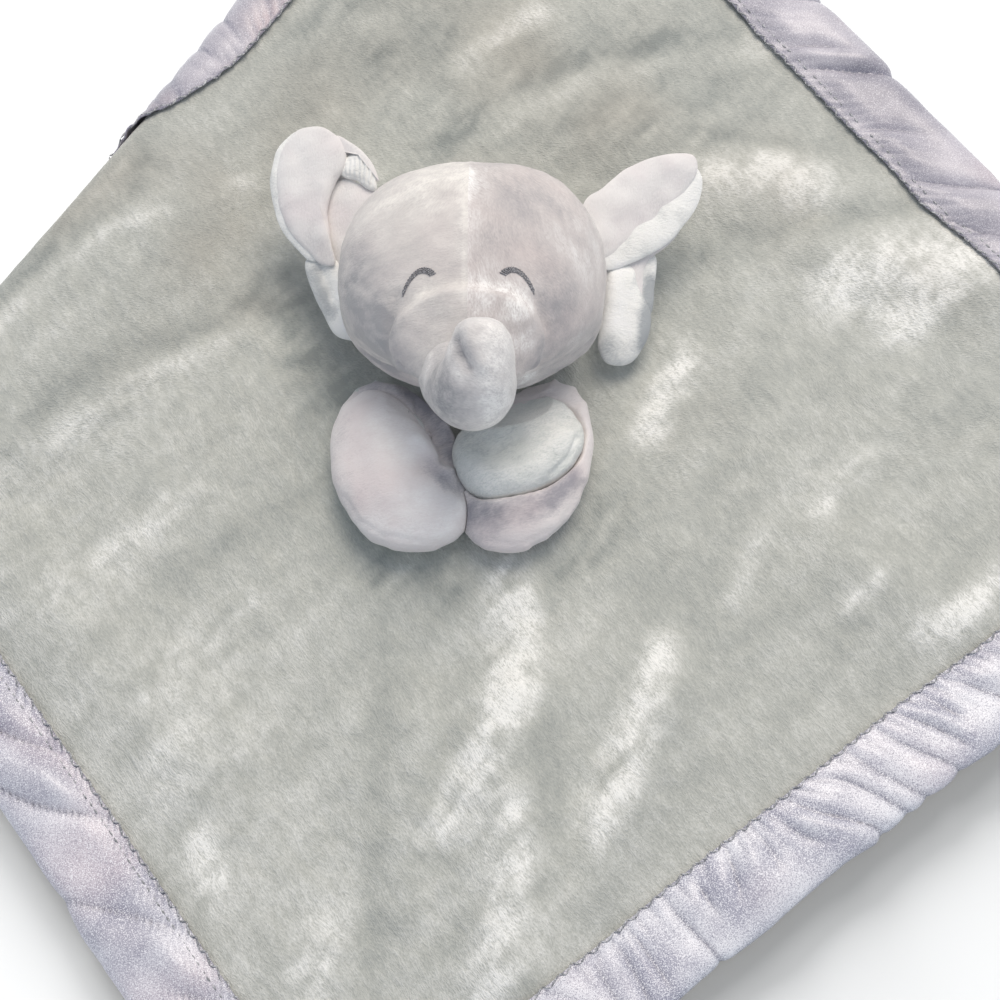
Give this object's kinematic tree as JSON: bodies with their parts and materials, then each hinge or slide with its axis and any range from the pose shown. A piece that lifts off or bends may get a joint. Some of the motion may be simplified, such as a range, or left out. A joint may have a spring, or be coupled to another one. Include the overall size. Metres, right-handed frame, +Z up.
{
  "type": "comfort blanket lovey",
  "caption": "Square two-layer plush comfort blanket with a wide satin binding, carrying a stuffed elephant head with folded ears and two short hugging arms sewn to its middle.",
  "frame": {"origin": "on the flat underside of the back plush, below the toy's neck, on the toy's middle plane", "axes": "+Z up out of the blanket, +Y towards the crown of the head, +X to the toy's left as it looks out"},
  "size_m": [0.4549, 0.4888, 0.0831],
  "materials": {
    "plush_grey": "short brushed pile",
    "satin_lilac": "silky satin weave",
    "velour_lilac": "velour",
    "plush_white": "short pile",
    "thread_grey": "satin stitch",
    "fibrefill_white": "loose fibre"
  },
  "bodies": {
    "blanket": {"blanket_front_plush": "plush_grey", "blanket_back_plush": "plush_grey", "satin_binding_upper_left": "satin_lilac", "satin_binding_lower_right": "satin_lilac", "satin_binding_lower_left": "satin_lilac", "satin_binding_upper_right": "satin_lilac", "neck_disc": "velour_lilac"},
    "head": {"face_panel_left": "velour_lilac", "face_panel_right": "velour_lilac", "head_back_panel": "velour_lilac", "head_stuffing": "fibrefill_white", "trunk_panel_left": "velour_lilac", "trunk_panel_right": "velour_lilac", "trunk_stuffing": "fibrefill_white", "eye_left": "thread_grey", "eye_right": "thread_grey"},
    "ear_left": {"ear_left_back": "velour_lilac", "ear_left_lining": "plush_white"},
    "ear_right": {"ear_right_back": "velour_lilac", "ear_right_lining": "plush_white"},
    "arm_left": {"arm_left_back": "velour_lilac", "arm_left_palm": "plush_grey", "arm_left_stuffing": "fibrefill_white"},
    "arm_right": {"arm_right_back": "velour_lilac", "arm_right_palm": "plush_grey", "arm_right_stuffing": "fibrefill_white"}
  },
  "joints": [
    {"name": "head_tilt", "type": "hinge", "parent": "blanket", "child": "head", "pos_m": [0, -0.006, 0.008], "axis": [1, 0, 0], "range_deg": [0, 15]},
    {"name": "ear_left_lift", "type": "hinge", "parent": "head", "child": "ear_left", "pos_m": [-0.0385, 0.014, 0.018], "axis": [0.1658, 0.9287, 0.3317], "range_deg": [0, 45]},
    {"name": "ear_right_lift", "type": "hinge", "parent": "head", "child": "ear_right", "pos_m": [0.0388, 0.013, 0.018], "axis": [0.1635, -0.9308, -0.327], "range_deg": [0, 50]},
    {"name": "arm_left_swing", "type": "hinge", "parent": "blanket", "child": "arm_left", "pos_m": [-0.02, -0.006, 0.014], "axis": [0, 0, -1], "range_deg": [0, 35]},
    {"name": "arm_right_swing", "type": "hinge", "parent": "blanket", "child": "arm_right", "pos_m": [0.02, -0.006, 0.014], "axis": [0, 0, 1], "range_deg": [0, 35]}
  ]
}
